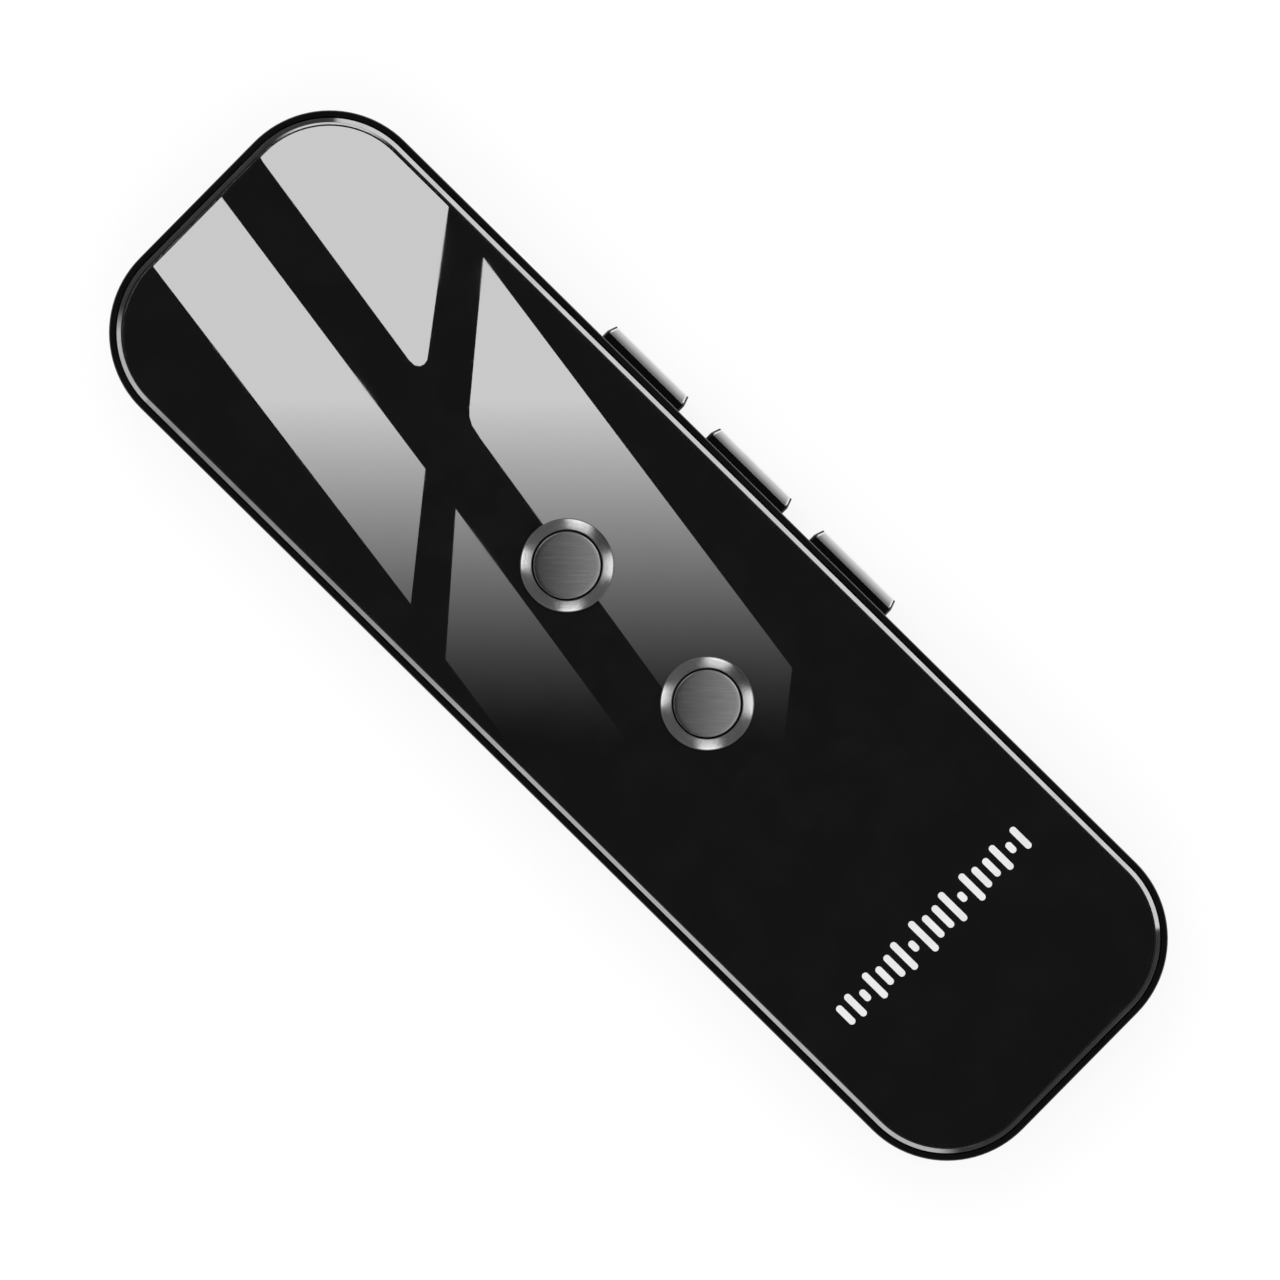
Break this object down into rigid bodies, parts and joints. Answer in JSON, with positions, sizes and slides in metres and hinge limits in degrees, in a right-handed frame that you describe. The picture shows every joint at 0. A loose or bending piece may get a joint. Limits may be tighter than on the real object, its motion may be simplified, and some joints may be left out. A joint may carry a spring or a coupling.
{
  "type": "handheld voice translator",
  "caption": "Slim black rounded-bar voice translator with a glossy front panel, bright trim line, round ringed push buttons and side keys, built as separate working pieces.",
  "frame": {"origin": "centre of the flat back face, which is the face that the object rests on", "axes": "+X across, towards the side keys; +Y along the body, towards the top end; +Z out of the glossy front panel"},
  "size_m": [0.0445, 0.14, 0.0126],
  "materials": {
    "case_plastic": "polished black",
    "panel_acrylic": "high gloss black",
    "trim_plating": "polished plating",
    "ring_plating": "polished plating",
    "cap_metal": "fine brushed grey",
    "key_plastic": "polished black",
    "screw_steel": "black oxide",
    "bright_screw_steel": "zinc plated",
    "adhesive_film": "matt",
    "circuit_board": "green solder mask",
    "chip_resin": "matt moulded resin",
    "chip_ceramic": "matt ceramic",
    "switch_housing": "matt moulded",
    "switch_plunger": "matt moulded",
    "tinned_steel": "bright tinned",
    "contact_moulding": "matt moulded",
    "soft_rubber": "matt",
    "battery_pouch": "foil pouch",
    "lead_red": "satin",
    "lead_black": "satin",
    "connector_white": "moulded nylon",
    "speaker_steel": "black painted",
    "magnet_nickel": "nickel plated",
    "speaker_film": "thin film",
    "mesh_cloth": "fine woven",
    "light_lens": "clear moulded"
  },
  "bodies": {
    "case": {"rear_cover": "case_plastic", "front_frame": "case_plastic", "trim_ring": "trim_plating", "front_panel": "panel_acrylic", "panel_adhesive": "adhesive_film", "case_screws": "screw_steel", "board_screws": "bright_screw_steel", "main_board": "circuit_board", "processor_chip": "chip_resin", "memory_chip": "chip_resin", "amplifier_chip": "chip_resin", "charger_chip": "chip_resin", "crystal": "tinned_steel", "antenna": "chip_ceramic", "small_components": "chip_ceramic", "wireless_shield": "tinned_steel", "status_light": "light_lens", "light_guide": "light_lens", "socket_shell": "tinned_steel", "socket_tongue": "contact_moulding", "microphone": "tinned_steel", "microphone_boot": "soft_rubber", "battery_tape": "adhesive_film", "battery_cell": "battery_pouch", "battery_protection_board": "circuit_board", "battery_lead_red": "lead_red", "battery_lead_black": "lead_black", "battery_connector": "connector_white", "speaker_gasket": "soft_rubber", "speaker_mesh": "mesh_cloth", "speaker_frame": "speaker_steel", "speaker_cone": "speaker_film", "speaker_magnet": "magnet_nickel", "speaker_lead_red": "lead_red", "speaker_lead_black": "lead_black", "upper_button_ring": "ring_plating", "upper_button_switch": "switch_housing", "lower_button_ring": "ring_plating", "lower_button_switch": "switch_housing", "volume_up_switch": "switch_housing", "volume_down_switch": "switch_housing", "power_switch": "switch_housing"},
    "upper_button": {"upper_button_cap": "cap_metal", "upper_button_plunger": "switch_plunger"},
    "lower_button": {"lower_button_cap": "cap_metal", "lower_button_plunger": "switch_plunger"},
    "volume_up_button": {"volume_up_key": "key_plastic", "volume_up_plunger": "switch_plunger"},
    "volume_down_button": {"volume_down_key": "key_plastic", "volume_down_plunger": "switch_plunger"},
    "power_button": {"power_key": "key_plastic", "power_plunger": "switch_plunger"}
  },
  "joints": [
    {"name": "upper_press", "type": "slide", "parent": "case", "child": "upper_button", "axis": [0, 0, -1], "range_m": [0, 0.00035], "stiffness_N_per_m": 4000, "springref_m": -0.0002},
    {"name": "lower_press", "type": "slide", "parent": "case", "child": "lower_button", "axis": [0, 0, -1], "range_m": [0, 0.00035], "stiffness_N_per_m": 4000, "springref_m": -0.0002},
    {"name": "volume_up_press", "type": "slide", "parent": "case", "child": "volume_up_button", "axis": [-1, 0, 0], "range_m": [0, 0.00035], "stiffness_N_per_m": 4000, "springref_m": -0.0002},
    {"name": "volume_down_press", "type": "slide", "parent": "case", "child": "volume_down_button", "axis": [-1, 0, 0], "range_m": [0, 0.00035], "stiffness_N_per_m": 4000, "springref_m": -0.0002},
    {"name": "power_press", "type": "slide", "parent": "case", "child": "power_button", "axis": [-1, 0, 0], "range_m": [0, 0.00035], "stiffness_N_per_m": 4000, "springref_m": -0.0002}
  ]
}
